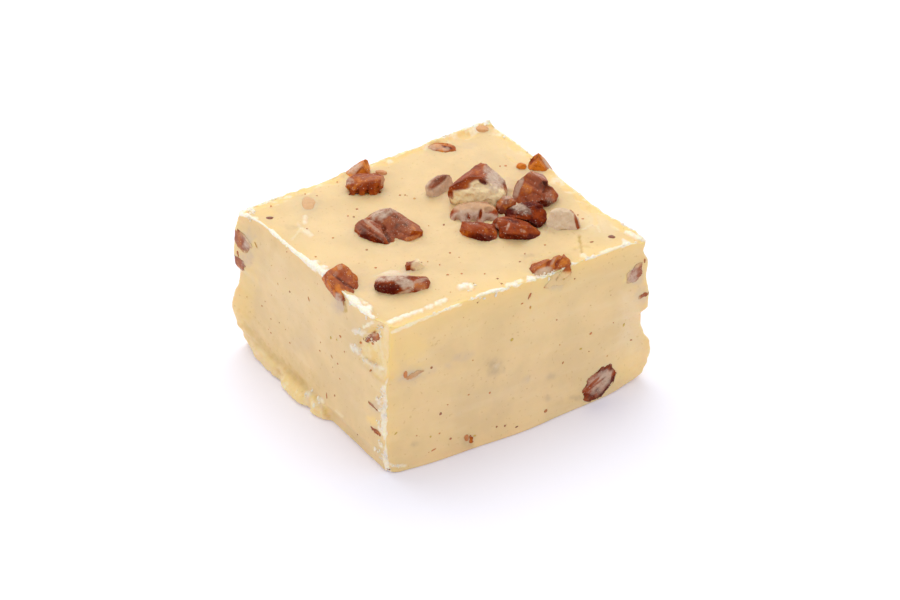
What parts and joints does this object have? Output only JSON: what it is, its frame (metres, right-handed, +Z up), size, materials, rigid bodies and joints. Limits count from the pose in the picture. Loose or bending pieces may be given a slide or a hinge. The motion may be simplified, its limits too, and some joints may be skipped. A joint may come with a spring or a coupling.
{
  "type": "square of pecan fudge",
  "caption": "Cream-coloured block of wire-cut fudge with chopped pecan pieces pressed into its top and showing in its cut sides.",
  "frame": {"origin": "middle of the footprint, on the flat base that the fudge rests on", "axes": "+Z up out of the top that carries the nuts, +X along the longer side, -Y the wide side that the picture shows on the right"},
  "size_m": [0.0482, 0.044, 0.0294],
  "materials": {
    "fudge": "dense cream-coloured fudge, satin, slightly translucent, frosty and crumbly at its edges",
    "pecan": "chopped pecan kernel: satin red-brown skin, pale cream broken flesh"
  },
  "bodies": {
    "root": {"fudge_block": "fudge", "pecan_ridged": "pecan", "pecan_shard_back": "pecan", "pecan_sliver": "pecan", "pecan_large": "pecan", "pecan_leaf": "pecan", "pecan_boat": "pecan", "pecan_cube": "pecan", "pecan_tan_back": "pecan", "pecan_slab": "pecan", "pecan_broken": "pecan", "pecan_flap": "pecan", "pecan_tall": "pecan", "pecan_orange_back": "pecan", "pecan_crumb": "pecan", "pecan_front_left": "pecan", "pecan_front_low": "pecan", "pecan_middle": "pecan", "pecan_wedge": "pecan", "pecan_pale": "pecan", "pecan_edge_front": "pecan", "pecan_tan_corner": "pecan", "pecan_tan_left": "pecan", "pecan_oval": "pecan", "pecan_front_sliver": "pecan", "pecan_front_chip": "pecan", "pecan_right_upper": "pecan", "pecan_right_lower": "pecan", "pecan_left_upper": "pecan", "pecan_left_lower": "pecan", "pecan_chip_upper": "pecan", "pecan_edge_thin": "pecan", "pecan_edge_lower": "pecan", "pecan_back_left": "pecan", "pecan_back_low": "pecan", "pecan_back_right": "pecan", "pecan_side_front": "pecan", "pecan_side_middle": "pecan", "pecan_side_back": "pecan"}
  },
  "joints": []
}
